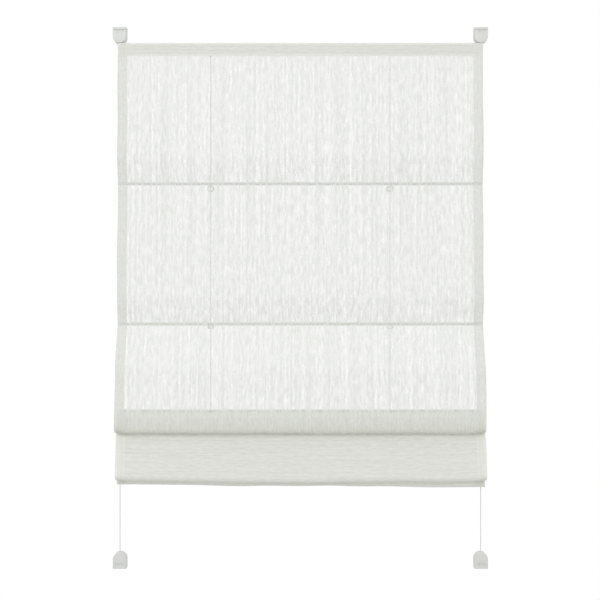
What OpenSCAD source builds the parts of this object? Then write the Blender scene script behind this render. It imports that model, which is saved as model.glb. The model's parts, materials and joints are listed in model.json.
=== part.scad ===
// Roman blind on two tension cords, with its lower half gathered into hanging folds.
// X runs to the right seen from the room, Z is up, and the window plane is Y = 0 with the room at -Y.
// The origin is the middle of the four screw holes of the two top plates, on the window plane.

/* [Cloth] */
// Width of the cloth
cloth_w = 600; // [500:5:800]
// Thickness of one layer of cloth
cloth_t = 0.6; // [0.4:0.05:0.7]
// Distance between two hanging rods
rod_pitch = 231; // [210:1:260]
// How far a hanging section stands out in front of its rods
section_bulge = 8; // [4:0.5:12]
// Distance from the second rod down to the third rod
gather_drop = 143; // [125:1:160]
// Distance from one gathered rod down to the next
stack_pitch = 13; // [11:0.5:18]
// Width of the side hems
side_hem_w = 15.5; // [10:0.5:25]
// Height of the top hem
top_hem_h = 21; // [18:0.5:30]
// Height of the bottom hem
bottom_hem_h = 15; // [12:0.5:20]
// Distance of the first two folds' fronts from the window plane
fold_front = 51; // [46:0.5:60]
// Depth of the first fold at its bottom
first_fold_d = 16; // [12:0.5:20]
// Depth of the second fold at its bottom
second_fold_d = 18; // [12:0.5:20]
// Distance of the third fold's front from the window plane
third_fold_front = 32; // [30:0.5:36]
// Depth of the third fold at its bottom
third_fold_d = 10; // [8:0.5:12]
// How much shorter each fold's cloth is than a hanging section, from the first fold on
fold_cuts = [6, 3, 18]; // [0:1:25]
// How far the cloth above the first fold stays behind that fold's front
fall_in = 6; // [4:0.5:10]
// Length of the second fold's cloth from the fourth rod down to its shoulder
shoulder_l = 31.5; // [26:0.5:36]

/* [Rods and rings] */
// Diameter of the rods
rod_d = 3; // [2.5:0.1:4]
// Distance of each rod's end from the cloth's edge
rod_inset = 4; // [2:0.5:8]
// Wall of the tips on the rod ends
tip_wall = 0.4; // [0.3:0.1:0.8]
// Length of the tips on the rod ends
tip_l = 8; // [6:0.5:15]
// Distance of the inner cord runs from the middle
ring_x = 148; // [100:1:200]
// Outer diameter of the rings
ring_od = 12; // [11:0.5:14]
// Wire thickness of the rings
ring_wire = 2.6; // [2:0.1:3]
// Width of the clip that holds a ring on its rod
clip_w = 5; // [4:0.5:8]
// Wall of the clip
clip_wall = 0.9; // [0.7:0.1:1.2]
// Length of the neck between the clip and the ring
neck_l = 1.9; // [1:0.1:3]
// How far the rings hang down from level, on each rod from the top
ring_tilts = [58, 34, 20, 20]; // [10:1:65]

/* [Rails] */
// Depth of the top rail
top_rail_d = 12; // [10:0.5:14]
// Height of the top rail
top_rail_h = 18; // [17.5:0.5:30]
// Depth of the bottom rail
bottom_rail_d = 7; // [6.5:0.5:8]
// Height of the bottom rail
bottom_rail_h = 18; // [16:0.5:24]
// Wall of both rails
rail_wall = 1.2; // [0.8:0.1:1.4]
// Length of the end caps outside the rails
cap_l = 5; // [4.5:0.5:8]
// Length of the end caps inside the rails
plug_l = 10; // [8:0.5:20]
// Thickness of a hook or loop strip
strip_t = 1; // [0.6:0.1:1.4]
// Height of the hook and loop strips on the top rail
top_strip_h = 16; // [10:0.5:18]
// Height of the hook and loop strips on the bottom rail
bottom_strip_h = 12; // [8:0.5:15]
// Outer diameter of the guides' necks
guide_d = 4; // [3.6:0.1:4.2]
// How far the guides' necks stand out of the rails
guide_out = 2; // [1:0.5:4]

/* [Brackets] */
// Distance from the top screw holes down to the bottom ones
cord_drop = 865.5; // [840:0.5:1200]
// Distance of the cords from the window plane
cord_off = 8; // [8:0.5:10]
// Distance of the outer cord runs from the cloth's edge
cord_inset = 2; // [2:0.1:2.5]
// Width of a shoe
shoe_w = 22; // [20:0.5:26]
// Height of a shoe
shoe_h = 26.5; // [25:0.5:34]
// Depth of a shoe
shoe_d = 15; // [13.5:0.5:20]
// Wall of a shoe
shoe_wall = 1.6; // [1.2:0.1:2]
// Width of the lips that grip the plate
lip_w = 1.6; // [1:0.1:2]
// Height of the raised band on a shoe's front
band_h = 4.5; // [3:0.5:6]
// Rise of that band
band_t = 0.8; // [0.4:0.1:1.5]
// Thickness of a plate's foot
foot_t = 1.4; // [1.2:0.1:2]
// Thickness of a plate's head
head_t = 1.6; // [1.2:0.1:2]
// Diameter of the screw holes
hole_d = 3.6; // [3:0.1:4]
// Distance between the two screw holes of a plate
hole_pitch = 10; // [9:0.5:11]

/* [Cords] */
// Diameter of the cords
cord_d = 1.2; // [0.8:0.1:1.4]
// Diameter of the bores that the cords run in
channel_d = 2.4; // [2:0.1:2.6]
// Radius of the cords' turns
bend_r = 3; // [2.5:0.1:3.2]
// Diameter of the beads on the cord ends
bead_d = 3.8; // [3:0.1:4.5]

/* [Hidden] */
$fn = 48;

// Clearances
fit_gap = 0.3;
rod_gap = 0.05;
slide_gap = 0.2;
slit_gap = 1.5;
rail_gap = 0.75;
over = 1;

// Cords and brackets
cord_y = -cord_off;
cord_x = cloth_w / 2 - cord_inset;
hole_margin = 8.5;
shoe_up = hole_pitch / 2 + hole_margin;
shoe_tip = shoe_up - shoe_h;
tip_center = shoe_tip + shoe_w / 2;
plate_t = foot_t + head_t;
bead_z = shoe_tip + shoe_wall + slide_gap + bead_d / 2;
cord_hole_d = cord_d + 2 * fit_gap;
sink_ratio = 1.9;
sink_d = sink_ratio * hole_d;
sink_t = (sink_d - hole_d) / 2;
rib_count = 5;
rib_w = 0.8;
rib_cut = 0.4;
rib_pitch = 2.75;
rib_h = 5.5;

// Top rail and top hem
top_z = shoe_tip - rail_gap;
top_rail_z = top_z - top_rail_h / 2;
rail_l = cloth_w - 2 * cap_l;
rail_front = cord_y - top_rail_d / 2;
hem_y = rail_front - 2 * strip_t - 1.5 * cloth_t;

// Rods, rings and tunnels
rod_l = cloth_w - 2 * rod_inset;
tip_d = rod_d + 2 * rod_gap + 2 * tip_wall;
tip_end = 2;
tunnel_r = tip_d / 2 + fit_gap;
sew_gap = 0.15;
cloth_off = tunnel_r + sew_gap + cloth_t / 2;
ring_r = (ring_od - ring_wire) / 2;
clip_r = rod_d / 2 + rod_gap;
clip_half_angle = 55;
slit_w = clip_w + 2 * slit_gap;
neck_w = 2.2;
neck_t = 1.8;
ring_reach = clip_r + clip_wall + neck_l + ring_r;
rod_y = [for (tilt = ring_tilts) cord_y - ring_reach * cos(tilt)];
rod_1_z = top_z - rod_pitch;
rod_2_z = rod_1_z - rod_pitch;
rod_3_z = rod_2_z - gather_drop;
rod_4_z = rod_3_z - stack_pitch;
rod_z = [rod_1_z, rod_2_z, rod_3_z, rod_4_z];
// The cloth lies straight in front of a hanging rod, and under and in front of a gathered one
lay_angle = 55;
cloth_dirs = [180, 180, 180 + lay_angle, 180 + lay_angle];

// Bottom rail, set just under the lowest rings
low_tilt = ring_tilts[3];
low_ring_z = rod_4_z - (ring_reach + ring_r) * sin(low_tilt) - ring_wire / 2;
bottom_top_z = low_ring_z - guide_out - 2 * fit_gap;
bottom_rail_z = bottom_top_z - bottom_rail_h / 2;
bottom_front = cord_y - bottom_rail_d / 2;
bottom_hem_y = bottom_front - 2 * strip_t - 1.5 * cloth_t;

// Bends of the cloth from the top edge to the bottom edge: y, z, radius, and 1 for a turn to the left
// or -1 for a turn to the right, as the cloth runs down. The ends are bends of no radius.
bulge_share = 0.8;
bulge_r = 60;
shoulder_r = 10;
shoulder_share = 0.88;
kink_r = 6;
apex_r = 2;
gap_layers = 5;
layer_gap = gap_layers * cloth_t;
low_apex_r = 1.5;
fall_share = 0.6;
arc_steps = 10;
function hanging_bulge(upper_z, y) = [
    y - section_bulge + bulge_r, upper_z - bulge_share * rod_pitch, bulge_r, 1
];
function rod_kink(i) = [rod_y[i] - cloth_off - kink_r, rod_z[i], kink_r, -1];
function rod_apex(i) = [
    rod_y[i] - (apex_r + cloth_off) * cos(lay_angle),
    rod_z[i] - (apex_r + cloth_off) * sin(lay_angle),
    apex_r, -1
];
top_edge = [hem_y, top_z, 0, 1];
hem_turn = [hem_y - kink_r, top_z - top_hem_h, kink_r, -1];
rail_apex = [bottom_hem_y - low_apex_r, bottom_top_z - 2 * low_apex_r, low_apex_r, -1];
bottom_edge = [bottom_hem_y, rail_apex[1] - bottom_hem_h, 0, 1];

// Cloth between two rods, which the gathered folds hold too
section_l = norm([bulge_share * rod_pitch, section_bulge])
    + norm([(1 - bulge_share) * rod_pitch, section_bulge]);

function left_of(dir) = [-sin(dir), cos(dir)];
function between(a, b) = [b[0] - a[0], b[1] - a[1]];
function radius_step(a, b) = b[3] * b[2] - a[3] * a[2];
function run_dir(a, b) =
    let (way = between(a, b))
    atan2(way[1], way[0]) - asin(radius_step(a, b) / norm(way));
function run_length(a, b) = sqrt(pow(norm(between(a, b)), 2) - pow(radius_step(a, b), 2));
function turned(from, to, sense) = from + sense * (((sense * (to - from)) % 360 + 360) % 360);
function turn_length(a, bend, b) =
    let (start = run_dir(a, bend), end = turned(start, run_dir(bend, b), bend[3]))
    bend[2] * abs(end - start) * PI / 180;
function total(list) = list * [for (item = list) 1];
function path_length(path) =
    total([for (i = [1:len(path) - 1]) run_length(path[i - 1], path[i])])
    + total([for (i = [1:len(path) - 2]) turn_length(path[i - 1], path[i], path[i + 1])]);
// Lowers a fold until the cloth between the bends before and after it is as long as asked
function hung_fold(before, fold, after, length, tries = 12) =
    tries == 0 ? fold : hung_fold(
        before,
        fold - [0, (length - path_length(concat(before, [fold, after]))) / 2, 0, 0],
        after, length, tries - 1
    );
function fold_at(front, depth, z) = [-front + depth / 2, z, depth / 2, 1];
// Bend to the left at the end of a straight run that leaves another such bend
function bend_after(bend, dir, length, radius) =
    let (center = [bend[0], bend[1]] + length * [cos(dir), sin(dir)] + (radius - bend[2]) * left_of(dir))
    [center[0], center[1], radius, 1];
// Where a layer is laid over the turn of the layer behind it
function laid_over(bend) = [bend[0], bend[1], bend[2] + layer_gap, 1];

half_turn_l = apex_r * PI / 2;
fall_bulge = [fall_in - fold_front + bulge_r, rod_2_z - fall_share * gather_drop, bulge_r, 1];
fold_a = hung_fold(
    [rod_kink(1), fall_bulge], fold_at(fold_front, first_fold_d, rod_3_z - first_fold_d), rod_apex(2),
    section_l - fold_cuts[0] - half_turn_l
);
first_try_z = rod_4_z - gather_drop / 2;
over_rod_4 = laid_over(rod_apex(3));
shoulder_dir = -90 + shoulder_share * (run_dir(rod_apex(2), over_rod_4) + 90);
shoulder = bend_after(over_rod_4, shoulder_dir, shoulder_l, shoulder_r);
fold_b = hung_fold(
    [rod_apex(2), over_rod_4, shoulder], fold_at(fold_front, second_fold_d, first_try_z), rod_apex(3),
    section_l - fold_cuts[1] - 2 * half_turn_l
);
over_rail = laid_over(rail_apex);
fold_c = hung_fold(
    [rod_apex(3), over_rail], fold_at(third_fold_front, third_fold_d, first_try_z), rail_apex,
    section_l - fold_cuts[2] - 2 * half_turn_l
);
bends = [
    top_edge, hem_turn,
    hanging_bulge(top_z, rod_y[0] - cloth_off), rod_kink(0),
    hanging_bulge(rod_1_z, rod_y[1] - cloth_off), rod_kink(1),
    fall_bulge, fold_a, rod_apex(2), over_rod_4, shoulder, fold_b, rod_apex(3), over_rail, fold_c,
    rail_apex, bottom_edge
];
last_bend = len(bends) - 1;

// Points along the cloth at a distance to the left of its middle line
function bend_points(i, off) =
    let (
        bend = bends[i],
        start = i == 0 ? run_dir(bends[0], bends[1]) : run_dir(bends[i - 1], bend),
        end = i == last_bend ? start : turned(start, run_dir(bend, bends[i + 1]), bend[3]),
        steps = bend[2] == 0 ? 0 : arc_steps
    )
    [
        for (k = [0:steps])
            let (dir = start + (end - start) * k / max(steps, 1))
            [bend[0], bend[1]] - (bend[3] * bend[2] - off) * left_of(dir)
    ];
function cloth_line(off) = [for (i = [0:last_bend]) each bend_points(i, off)];
function reversed(list) = [for (i = [len(list) - 1:-1:0]) list[i]];

// Extrudes a section drawn in Y and Z along X, about the middle
module along_x(length) {
    rotate([90, 0, 90]) linear_extrude(height = length, center = true) children();
}

// Extrudes an outline drawn in X and Z from the window plane towards the room
module into_room(depth) {
    rotate([90, 0, 0]) linear_extrude(height = depth) children();
}

// Leaves a right-hand piece as it is, or mirrors it to the left
module on_side(side) {
    mirror([side < 0 ? 1 : 0, 0, 0]) children();
}

// Places a bracket piece at the top, or upside down at the bottom
module at_end(end) {
    translate([0, 0, end < 0 ? -cord_drop : 0])
        mirror([0, 0, end < 0 ? 1 : 0])
            translate([cord_x, 0, 0]) children();
}

// Section of the cloth between two distances from its middle line
module cloth_section(front, back) {
    polygon(concat(cloth_line(front), reversed(cloth_line(back))));
}

module rod_tunnel(i) {
    middle_l = 2 * ring_x - slit_w;
    outer_l = cloth_w / 2 - ring_x - slit_w / 2;
    outer_x = ring_x + slit_w / 2 + outer_l / 2;
    for (run = [[0, middle_l], [outer_x, outer_l], [-outer_x, outer_l]])
        translate([run[0], rod_y[i], rod_z[i]])
            along_x(run[1]) difference() {
                circle(r = tunnel_r + cloth_t);
                circle(r = tunnel_r);
            }
}

module hem_band(y, z, height) {
    translate([-cloth_w / 2, y - cloth_t / 2, z - height]) cube([cloth_w, 2 * cloth_t, height]);
}

module cloth() {
    color("whitesmoke") difference() {
        union() {
            along_x(cloth_w) cloth_section(-cloth_t / 2, cloth_t / 2);
            for (side = [-1, 1])
                translate([side * (cloth_w - side_hem_w) / 2, 0, 0])
                    along_x(side_hem_w) cloth_section(-cloth_t / 2, 1.5 * cloth_t);
            hem_band(hem_y, top_z, top_hem_h);
            hem_band(bottom_hem_y, rail_apex[1], bottom_hem_h);
            for (i = [0:3]) rod_tunnel(i);
        }
        for (i = [0:3])
            translate([0, rod_y[i], rod_z[i]]) along_x(rod_l + 2 * fit_gap) circle(r = tunnel_r);
    }
}

module rod(i) {
    color("gainsboro") translate([0, rod_y[i], rod_z[i]])
        along_x(rod_l - 2 * tip_end) circle(d = rod_d);
}

module tips(i) {
    color("white") for (side = [-1, 1])
        translate([side * (rod_l - tip_l) / 2, rod_y[i], rod_z[i]]) difference() {
            along_x(tip_l) circle(d = tip_d);
            translate([-side * tip_end, 0, 0]) along_x(tip_l) circle(d = rod_d + 2 * rod_gap);
        }
}

// A ring on its neck and open clip, with the rod's middle at the origin
module ring(tilt, cloth_dir) {
    rotate([-tilt, 0, 0]) {
        translate([0, ring_reach, 0]) rotate_extrude() translate([ring_r, 0]) circle(d = ring_wire);
        translate([-neck_w / 2, clip_r + clip_wall / 2, -neck_t / 2])
            cube([neck_w, neck_l + clip_wall / 2 + ring_wire / 4, neck_t]);
        along_x(clip_w) difference() {
            circle(r = clip_r + clip_wall);
            circle(r = clip_r);
            rotate(cloth_dir + tilt) clip_mouth();
        }
    }
}

module clip_mouth() {
    reach = 3 * (clip_r + clip_wall);
    polygon([
        [0, 0],
        reach * [cos(clip_half_angle), -sin(clip_half_angle)],
        reach * [cos(clip_half_angle), sin(clip_half_angle)]
    ]);
}

module rings(i) {
    color("white") for (side = [-1, 1])
        translate([side * ring_x, rod_y[i], rod_z[i]]) ring(ring_tilts[i], cloth_dirs[i]);
}

// Quarter turn of a cord in X and Z, from the angle given
module cord_turn(x, z, from, d) {
    translate([x, cord_y, z]) rotate([90, 0, 0]) rotate([0, 0, from])
        rotate_extrude(angle = 90) translate([bend_r, 0]) circle(d = d);
}

module cord_upright(x, low, high, d) {
    translate([x, cord_y, low]) cylinder(h = high - low, d = d);
}

module cord_level(z, d) {
    translate([ring_x + bend_r, cord_y, z]) rotate([0, 90, 0])
        cylinder(h = cord_x - ring_x - 2 * bend_r, d = d);
}

// The right-hand cord: down from the top shoe, along the top rail, down behind the cloth through the
// rings, out along the bottom rail and down to the bottom shoe
module cord_run(d) {
    cord_upright(cord_x, top_rail_z + bend_r, bead_z + bead_d / 2, d);
    cord_turn(cord_x - bend_r, top_rail_z + bend_r, 270, d);
    cord_level(top_rail_z, d);
    cord_turn(ring_x + bend_r, top_rail_z - bend_r, 90, d);
    cord_upright(ring_x, bottom_rail_z + bend_r, top_rail_z - bend_r, d);
    cord_turn(ring_x + bend_r, bottom_rail_z + bend_r, 180, d);
    cord_level(bottom_rail_z, d);
    cord_turn(cord_x - bend_r, bottom_rail_z - bend_r, 0, d);
    cord_upright(cord_x, -cord_drop - bead_z - bead_d / 2, bottom_rail_z - bend_r, d);
}

module tension_cord(side) {
    color("gainsboro") on_side(side) cord_run(cord_d);
}

// Hollow rail with a hole for each guide's neck, in its bottom wall or, with way 1, in its top wall
module rail(z, depth, height, way) {
    color("silver") translate([0, cord_y, z]) difference() {
        along_x(rail_l) difference() {
            square([depth, height], center = true);
            square([depth - 2 * rail_wall, height - 2 * rail_wall], center = true);
        }
        for (side = [-1, 1])
            translate([side * ring_x, 0, way * height / 2])
                cylinder(h = 4 * rail_wall, d = guide_d + 2 * slide_gap, center = true);
    }
}

module cap(side, z, depth, height) {
    inner = [plug_l, depth - 2 * rail_wall - 2 * slide_gap, height - 2 * rail_wall - 2 * slide_gap];
    color("white") on_side(side) difference() {
        union() {
            translate([rail_l / 2, cord_y - depth / 2, z - height / 2]) cube([cap_l, depth, height]);
            translate([rail_l / 2 - plug_l, cord_y - inner[1] / 2, z - inner[2] / 2]) cube(inner);
        }
        cord_run(channel_d);
    }
}

// Guide block inside a rail, with its neck down through the wall or, with way 1, up through it
module guide(side, z, depth, height, way) {
    block_l = 2 * (bend_r + channel_d);
    block_d = depth - 2 * rail_wall - 2 * slide_gap;
    block_h = height / 2 - rail_wall - slide_gap + channel_d;
    block_z = way > 0 ? z - channel_d : z + channel_d - block_h;
    neck_h = rail_wall + slide_gap + guide_out;
    neck_z = z + way * (height / 2 + guide_out - neck_h / 2);
    color("white") on_side(side) difference() {
        union() {
            translate([ring_x - channel_d, cord_y - block_d / 2, block_z])
                cube([block_l, block_d, block_h]);
            translate([ring_x, cord_y, neck_z]) cylinder(h = neck_h, d = guide_d, center = true);
        }
        cord_run(channel_d);
    }
}

module strip(shade, y, z, height) {
    color(shade) translate([-rail_l / 2, y - strip_t, z - height / 2]) cube([rail_l, strip_t, height]);
}

// Outline of a shoe in X and Z about its screw holes, drawn in by the inset
module shoe_outline(inset) {
    half = shoe_w / 2 - inset;
    translate([-half, tip_center]) square([2 * half, shoe_up - inset - tip_center]);
    translate([0, tip_center]) circle(r = half);
}

module shoe_shell() {
    inner_w = shoe_w - 2 * shoe_wall;
    difference() {
        union() {
            into_room(shoe_d) shoe_outline(0);
            translate([rib_w - shoe_w / 2, -shoe_d - band_t, shoe_up - band_h])
                cube([shoe_w - 2 * rib_w, 2 * band_t, band_h]);
        }
        translate([0, over, 0]) into_room(shoe_d - shoe_wall + over) shoe_outline(shoe_wall);
        translate([-inner_w / 2, -plate_t - fit_gap, shoe_tip - over])
            cube([inner_w, plate_t + fit_gap + over, tip_center - shoe_tip + over]);
        translate([0, cord_y, shoe_tip - over]) cylinder(h = shoe_wall + 2 * over, d = cord_hole_d);
        for (k = [0:rib_count - 1]) {
            groove_x = (k - (rib_count - 1) / 2) * rib_pitch;
            translate([groove_x - rib_w / 2, -shoe_d - over, shoe_up - band_h - rib_h])
                cube([rib_w, over + rib_cut, rib_h - rib_w]);
        }
    }
}

module shoe(side, end) {
    lip_t = foot_t - fit_gap;
    lip_l = shoe_up - shoe_wall - tip_center;
    lip_x = (shoe_w - lip_w) / 2 - shoe_wall;
    color("gainsboro") on_side(side) at_end(end) union() {
        shoe_shell();
        for (flank = [-1, 1])
            translate([flank * lip_x, -lip_t / 2, tip_center + lip_l / 2])
                cube([lip_w, lip_t, lip_l], center = true);
    }
}

module plate(side, end) {
    color("white") on_side(side) at_end(end) difference() {
        union() {
            into_room(plate_t) shoe_outline(shoe_wall + lip_w + fit_gap);
            translate([0, -foot_t, 0]) into_room(head_t) shoe_outline(shoe_wall + fit_gap);
        }
        for (z = [-hole_pitch / 2, hole_pitch / 2]) translate([0, 0, z]) rotate([90, 0, 0]) {
            translate([0, 0, -over]) cylinder(h = plate_t + 2 * over, d = hole_d);
            translate([0, 0, plate_t - sink_t]) cylinder(h = sink_t, d1 = hole_d, d2 = sink_d);
        }
    }
}

module cord_beads() {
    color("white") for (side = [-1, 1]) for (end = [-1, 1])
        on_side(side) at_end(end) translate([0, cord_y, bead_z]) difference() {
            sphere(d = bead_d);
            cylinder(h = 2 * bead_d, d = cord_d + 2 * rod_gap, center = true);
        }
}

module top_rail() {
    rail(top_rail_z, top_rail_d, top_rail_h, -1);
}

module bottom_rail() {
    rail(bottom_rail_z, bottom_rail_d, bottom_rail_h, 1);
}

module top_cap(side) {
    cap(side, top_rail_z, top_rail_d, top_rail_h);
}

module bottom_cap(side) {
    cap(side, bottom_rail_z, bottom_rail_d, bottom_rail_h);
}

module top_guide(side) {
    guide(side, top_rail_z, top_rail_d, top_rail_h, -1);
}

module bottom_guide(side) {
    guide(side, bottom_rail_z, bottom_rail_d, bottom_rail_h, 1);
}

module top_strip(shade, layer) {
    strip(shade, rail_front - layer * strip_t, top_z - top_hem_h / 2, top_strip_h);
}

module bottom_strip(shade, layer) {
    strip(shade, bottom_front - layer * strip_t, rail_apex[1] - bottom_hem_h / 2, bottom_strip_h);
}

plate(-1, 1);  // plate_top_left
plate(1, 1);  // plate_top_right
plate(-1, -1);  // plate_bottom_left
plate(1, -1);  // plate_bottom_right
shoe(-1, 1);  // shoe_top_left
shoe(1, 1);  // shoe_top_right
shoe(-1, -1);  // shoe_bottom_left
shoe(1, -1);  // shoe_bottom_right
cord_beads();
tension_cord(-1);  // tension_cord_left
tension_cord(1);  // tension_cord_right
top_rail();
top_cap(-1);  // top_cap_left
top_cap(1);  // top_cap_right
top_guide(-1);  // top_guide_left
top_guide(1);  // top_guide_right
top_strip("white", 0);  // top_hook_strip
top_strip("ivory", 1);  // top_loop_strip
cloth();
rod(0);  // rod_1
rod(1);  // rod_2
rod(2);  // rod_3
rod(3);  // rod_4
rings(0);  // rings_1
rings(1);  // rings_2
rings(2);  // rings_3
rings(3);  // rings_4
tips(0);  // tips_1
tips(1);  // tips_2
tips(2);  // tips_3
tips(3);  // tips_4
bottom_rail();
bottom_cap(-1);  // bottom_cap_left
bottom_cap(1);  // bottom_cap_right
bottom_guide(-1);  // bottom_guide_left
bottom_guide(1);  // bottom_guide_right
bottom_strip("white", 0);  // bottom_hook_strip
bottom_strip("ivory", 1);  // bottom_loop_strip
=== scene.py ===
"""Looks of the roman blind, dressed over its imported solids.

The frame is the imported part's: X to the right seen from the room, Z up, and the window plane at Y = 0.
Sizes are in millimetres until they become vertices.
"""

import json
import logging
import math
from collections.abc import Callable
from dataclasses import dataclass, replace
from enum import Enum
from typing import Any

import bpy
import numpy as np
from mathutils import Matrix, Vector

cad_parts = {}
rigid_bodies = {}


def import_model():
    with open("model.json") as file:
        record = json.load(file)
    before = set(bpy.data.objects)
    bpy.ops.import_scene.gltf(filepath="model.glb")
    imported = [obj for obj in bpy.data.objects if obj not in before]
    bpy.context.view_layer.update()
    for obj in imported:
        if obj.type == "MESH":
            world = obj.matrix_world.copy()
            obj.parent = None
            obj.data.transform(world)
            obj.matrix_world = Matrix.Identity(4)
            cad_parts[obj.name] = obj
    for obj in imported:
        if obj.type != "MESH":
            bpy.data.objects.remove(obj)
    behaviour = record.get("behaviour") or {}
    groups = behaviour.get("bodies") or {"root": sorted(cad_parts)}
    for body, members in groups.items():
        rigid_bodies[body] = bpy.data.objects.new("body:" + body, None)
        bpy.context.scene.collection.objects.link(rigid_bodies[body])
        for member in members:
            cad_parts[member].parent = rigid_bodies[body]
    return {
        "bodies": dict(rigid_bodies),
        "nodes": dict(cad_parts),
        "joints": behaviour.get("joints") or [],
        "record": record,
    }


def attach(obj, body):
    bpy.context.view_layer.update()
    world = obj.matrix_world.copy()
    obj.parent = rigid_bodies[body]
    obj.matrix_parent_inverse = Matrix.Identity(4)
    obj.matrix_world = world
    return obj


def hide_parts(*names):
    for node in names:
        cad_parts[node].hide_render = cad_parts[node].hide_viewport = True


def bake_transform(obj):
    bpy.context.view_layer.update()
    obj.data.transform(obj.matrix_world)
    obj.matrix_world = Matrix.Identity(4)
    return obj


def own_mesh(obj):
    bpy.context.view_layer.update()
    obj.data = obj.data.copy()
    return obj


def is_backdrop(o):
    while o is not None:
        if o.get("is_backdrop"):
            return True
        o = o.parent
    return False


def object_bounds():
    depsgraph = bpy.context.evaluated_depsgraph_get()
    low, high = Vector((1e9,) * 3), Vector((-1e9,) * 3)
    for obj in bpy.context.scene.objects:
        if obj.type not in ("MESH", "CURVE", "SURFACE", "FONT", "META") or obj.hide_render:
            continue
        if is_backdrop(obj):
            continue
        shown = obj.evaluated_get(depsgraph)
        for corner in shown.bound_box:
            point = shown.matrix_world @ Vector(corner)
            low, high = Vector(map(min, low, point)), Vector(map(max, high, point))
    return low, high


MM = 0.001
Piece = bpy.types.Object
Socket = bpy.types.NodeSocket
Triple = tuple[float, float, float]
Point = tuple[float, float]
log = logging.getLogger("roman_blind")


class Body(Enum):
    """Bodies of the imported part."""

    HEAD = "head"
    UPPER_ROD = "upper_rod"
    LOWER_ROD = "lower_rod"
    GATHERED = "gathered"


class Turn(Enum):
    """Which way the cloth turns as it runs down."""

    LEFT = 1
    RIGHT = -1


@dataclass(frozen=True)
class Bend:
    """A turn of the cloth in Y and Z. An end of the cloth is a bend of no radius."""

    y: float
    z: float
    radius: float = 0.0
    turn: Turn = Turn.LEFT

    @property
    def centre(self) -> np.ndarray:
        """Middle of the turn in Y and Z."""
        return np.array([self.y, self.z])

    @property
    def signed(self) -> float:
        """Radius, positive for a turn to the left."""
        return self.turn.value * self.radius


@dataclass(frozen=True)
class BlindSizes:
    """Sizes that the looks share with the solids, in millimetres."""

    cloth_w: float = 600.0
    cloth_t: float = 0.6
    side_hem: float = 15.5
    top_hem: float = 21.0
    bottom_hem: float = 15.0
    rod_y: tuple[float, ...] = (-12.796, -15.503, -16.504, -16.504)
    rod_z: tuple[float, ...] = (-244.75, -475.75, -618.75, -631.75)
    tunnel_r: float = 2.55
    slit_w: float = 8.0
    ring_x: float = 148.0
    cord_x: float = 298.0
    cord_y: float = -8.0
    cord_r: float = 0.6
    cord_top: float = -7.4
    cord_drop: float = 865.5
    bend_r: float = 3.0
    hem_z: float = -34.75
    top_rail_z: float = -22.75
    bottom_rail_z: float = -649.353
    upper_lift: float = 203.0
    lower_lift: float = 217.0


# The cloth's turns, from its top edge to its bottom edge.
BENDS = (
    Bend(-16.9, -13.75),
    Bend(-22.9, -34.75, 6.0, Turn.RIGHT),
    Bend(36.504, -198.55, 60.0),
    Bend(-21.496, -244.75, 6.0, Turn.RIGHT),
    Bend(33.797, -429.55, 60.0),
    Bend(-24.203, -475.75, 6.0, Turn.RIGHT),
    Bend(15.0, -561.55, 60.0),
    Bend(-43.0, -644.275, 8.0),
    Bend(-19.2, -622.6, 2.0, Turn.RIGHT),
    Bend(-19.2, -635.6, 5.0),
    Bend(-29.925, -665.637, 10.0),
    Bend(-42.0, -722.811, 9.0),
    Bend(-19.2, -635.6, 2.0, Turn.RIGHT),
    Bend(-15.9, -643.353, 4.5),
    Bend(-27.0, -735.069, 5.0),
    Bend(-15.9, -643.353, 1.5, Turn.RIGHT),
    Bend(-14.4, -658.353),
)
# Places among them of the turns at the hem, the rods, the first fold and the bottom rail.
HEM_TURN, ROD_1, ROD_2, FOLD_A, ROD_3, ROD_4, RAIL = 1, 3, 5, 7, 8, 12, 15


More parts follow.
